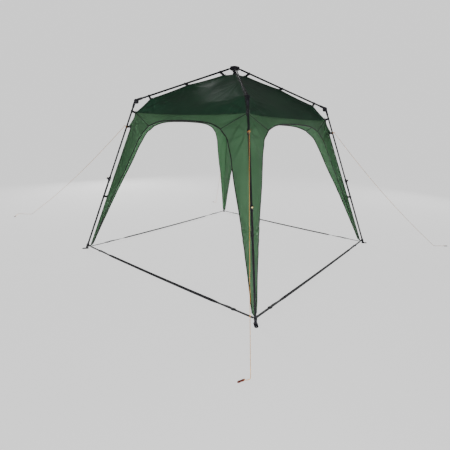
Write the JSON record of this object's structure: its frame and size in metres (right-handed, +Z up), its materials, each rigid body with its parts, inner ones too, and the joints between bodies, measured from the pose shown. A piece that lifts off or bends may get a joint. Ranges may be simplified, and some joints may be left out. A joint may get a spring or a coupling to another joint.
{
  "type": "tarp shelter",
  "caption": "Camping shelter with an outside folding tube frame, hung cloth roof, arched open sides, tapered cloth legs, sliding legs, floor straps and guy ropes.",
  "frame": {"origin": "on the floor, under the hub, at the middle of the four feet", "axes": "+Z up; X and Y along the four sides, so that each leg stands on a diagonal"},
  "size_m": [6.7772, 4.3826, 2.2433],
  "materials": {
    "frame_paint": "satin black",
    "joint_plastic": "moulded black",
    "pin_steel": "plain",
    "button_plastic": "pale yellow",
    "canopy_fabric": "dark green coated polyester",
    "webbing": "black woven webbing",
    "guy_cord": "tan braided cord"
  },
  "bodies": {
    "root": {"hub": "joint_plastic", "hub_cap": "joint_plastic", "roof_panel_front": "canopy_fabric", "side_panel_front": "canopy_fabric", "base_strap_front": "webbing", "roof_panel_right": "canopy_fabric", "side_panel_right": "canopy_fabric", "base_strap_right": "webbing", "roof_panel_back": "canopy_fabric", "side_panel_back": "canopy_fabric", "base_strap_back": "webbing", "roof_panel_left": "canopy_fabric", "side_panel_left": "canopy_fabric", "base_strap_left": "webbing", "leg_panel_front_left": "canopy_fabric", "leg_panel_front_right": "canopy_fabric", "leg_panel_back_right": "canopy_fabric", "leg_panel_back_left": "canopy_fabric"},
    "arm_front_left": {"roof_arm_front_left": "frame_paint", "elbow_fork_front_left": "joint_plastic", "elbow_pin_front_left": "pin_steel"},
    "leg_front_left": {"elbow_block_front_left": "joint_plastic", "upper_leg_front_left": "frame_paint"},
    "shin_front_left": {"lower_leg_front_left": "frame_paint", "leg_collar_front_left": "joint_plastic", "foot_front_left": "joint_plastic"},
    "button_front_left": {"snap_button_front_left": "button_plastic"},
    "guy_front_left": {"guy_rope_front_left": "guy_cord"},
    "arm_front_right": {"roof_arm_front_right": "frame_paint", "elbow_fork_front_right": "joint_plastic", "elbow_pin_front_right": "pin_steel"},
    "leg_front_right": {"elbow_block_front_right": "joint_plastic", "upper_leg_front_right": "frame_paint"},
    "shin_front_right": {"lower_leg_front_right": "frame_paint", "leg_collar_front_right": "joint_plastic", "foot_front_right": "joint_plastic"},
    "button_front_right": {"snap_button_front_right": "button_plastic"},
    "guy_front_right": {"guy_rope_front_right": "guy_cord"},
    "arm_back_right": {"roof_arm_back_right": "frame_paint", "elbow_fork_back_right": "joint_plastic", "elbow_pin_back_right": "pin_steel"},
    "leg_back_right": {"elbow_block_back_right": "joint_plastic", "upper_leg_back_right": "frame_paint"},
    "shin_back_right": {"lower_leg_back_right": "frame_paint", "leg_collar_back_right": "joint_plastic", "foot_back_right": "joint_plastic"},
    "button_back_right": {"snap_button_back_right": "button_plastic"},
    "guy_back_right": {"guy_rope_back_right": "guy_cord"},
    "arm_back_left": {"roof_arm_back_left": "frame_paint", "elbow_fork_back_left": "joint_plastic", "elbow_pin_back_left": "pin_steel"},
    "leg_back_left": {"elbow_block_back_left": "joint_plastic", "upper_leg_back_left": "frame_paint"},
    "shin_back_left": {"lower_leg_back_left": "frame_paint", "leg_collar_back_left": "joint_plastic", "foot_back_left": "joint_plastic"},
    "button_back_left": {"snap_button_back_left": "button_plastic"},
    "guy_back_left": {"guy_rope_back_left": "guy_cord"}
  },
  "joints": [
    {"name": "frame_fold", "type": "hinge", "parent": "root", "child": "arm_front_right", "pos_m": [0.03182, -0.03182, 2.218], "axis": [-0.7071, -0.7071, 0], "range_deg": [0, 101], "deforming": ["roof_panel_front", "side_panel_front", "base_strap_front", "roof_panel_right", "side_panel_right", "base_strap_right", "roof_panel_back", "side_panel_back", "base_strap_back", "roof_panel_left", "side_panel_left", "base_strap_left", "leg_panel_front_left", "leg_panel_front_right", "leg_panel_back_right", "leg_panel_back_left"]},
    {"name": "elbow_front_right", "type": "hinge", "parent": "arm_front_right", "child": "leg_front_right", "pos_m": [0.83293, -0.83293, 1.83853], "axis": [-0.7071, -0.7071, 0], "range_deg": [-127.72, 0]},
    {"name": "leg_slide_front_right", "type": "slide", "parent": "leg_front_right", "child": "shin_front_right", "axis": [-0.3179, 0.3179, 0.8932], "range_m": [0, 0.5]},
    {"name": "button_press_front_right", "type": "slide", "parent": "shin_front_right", "child": "button_front_right", "axis": [-0.6316, 0.6316, -0.4496], "range_m": [0, 0.003], "stiffness_N_per_m": 400},
    {"name": "guy_swing_front_right", "type": "hinge", "parent": "leg_front_right", "child": "guy_front_right", "pos_m": [0.95489, -0.95489, 1.58041], "axis": [0.8407, 0.5301, 0.1106], "range_deg": [0, 2.25]},
    {"name": "arm_fold_front_left", "type": "hinge", "parent": "root", "child": "arm_front_left", "pos_m": [-0.03182, -0.03182, 2.218], "axis": [-0.7071, 0.7071, 0], "range_deg": [0, 101]},
    {"name": "elbow_front_left", "type": "hinge", "parent": "arm_front_left", "child": "leg_front_left", "pos_m": [-0.83293, -0.83293, 1.83853], "axis": [-0.7071, 0.7071, 0], "range_deg": [-127.72, 0]},
    {"name": "leg_slide_front_left", "type": "slide", "parent": "leg_front_left", "child": "shin_front_left", "axis": [0.3179, 0.3179, 0.8932], "range_m": [0, 0.5]},
    {"name": "button_press_front_left", "type": "slide", "parent": "shin_front_left", "child": "button_front_left", "axis": [0.6316, 0.6316, -0.4496], "range_m": [0, 0.003], "stiffness_N_per_m": 400},
    {"name": "guy_swing_front_left", "type": "hinge", "parent": "leg_front_left", "child": "guy_front_left", "pos_m": [-0.95489, -0.95489, 1.58041], "axis": [-0.0934, -0.927, 0.3632], "range_deg": [0, 30.07]},
    {"name": "arm_fold_back_right", "type": "hinge", "parent": "root", "child": "arm_back_right", "pos_m": [0.03182, 0.03182, 2.218], "axis": [0.7071, -0.7071, 0], "range_deg": [0, 101]},
    {"name": "elbow_back_right", "type": "hinge", "parent": "arm_back_right", "child": "leg_back_right", "pos_m": [0.83293, 0.83293, 1.83853], "axis": [0.7071, -0.7071, 0], "range_deg": [-127.72, 0]},
    {"name": "leg_slide_back_right", "type": "slide", "parent": "leg_back_right", "child": "shin_back_right", "axis": [-0.3179, -0.3179, 0.8932], "range_m": [0, 0.5]},
    {"name": "button_press_back_right", "type": "slide", "parent": "shin_back_right", "child": "button_back_right", "axis": [-0.6316, -0.6316, -0.4496], "range_m": [0, 0.003], "stiffness_N_per_m": 400},
    {"name": "guy_swing_back_right", "type": "hinge", "parent": "leg_back_right", "child": "guy_back_right", "pos_m": [0.95489, 0.95489, 1.58041], "axis": [-0.5509, 0.8287, 0.0989], "range_deg": [0, 9.89]},
    {"name": "arm_fold_back_left", "type": "hinge", "parent": "root", "child": "arm_back_left", "pos_m": [-0.03182, 0.03182, 2.218], "axis": [0.7071, 0.7071, 0], "range_deg": [0, 101]},
    {"name": "elbow_back_left", "type": "hinge", "parent": "arm_back_left", "child": "leg_back_left", "pos_m": [-0.83293, 0.83293, 1.83853], "axis": [0.7071, 0.7071, 0], "range_deg": [-127.72, 0]},
    {"name": "leg_slide_back_left", "type": "slide", "parent": "leg_back_left", "child": "shin_back_left", "axis": [0.3179, -0.3179, 0.8932], "range_m": [0, 0.5]},
    {"name": "button_press_back_left", "type": "slide", "parent": "shin_back_left", "child": "button_back_left", "axis": [0.6316, -0.6316, -0.4496], "range_m": [0, 0.003], "stiffness_N_per_m": 400},
    {"name": "guy_swing_back_left", "type": "hinge", "parent": "leg_back_left", "child": "guy_back_left", "pos_m": [-0.95489, 0.95489, 1.58041], "axis": [-0.5598, -0.8233, -0.0938], "range_deg": [0, 3.94]}
  ],
  "couplings": [
    {"joint": "elbow_front_right", "follows": "frame_fold", "ratio": -1.2645},
    {"joint": "guy_swing_front_right", "follows": "frame_fold", "ratio": 0.022139},
    {"joint": "arm_fold_front_left", "follows": "frame_fold", "ratio": 1},
    {"joint": "elbow_front_left", "follows": "frame_fold", "ratio": -1.2645},
    {"joint": "guy_swing_front_left", "follows": "frame_fold", "ratio": 0.29759},
    {"joint": "arm_fold_back_right", "follows": "frame_fold", "ratio": 1},
    {"joint": "elbow_back_right", "follows": "frame_fold", "ratio": -1.2645},
    {"joint": "guy_swing_back_right", "follows": "frame_fold", "ratio": 0.097861},
    {"joint": "arm_fold_back_left", "follows": "frame_fold", "ratio": 1},
    {"joint": "elbow_back_left", "follows": "frame_fold", "ratio": -1.2645},
    {"joint": "guy_swing_back_left", "follows": "frame_fold", "ratio": 0.038881}
  ]
}
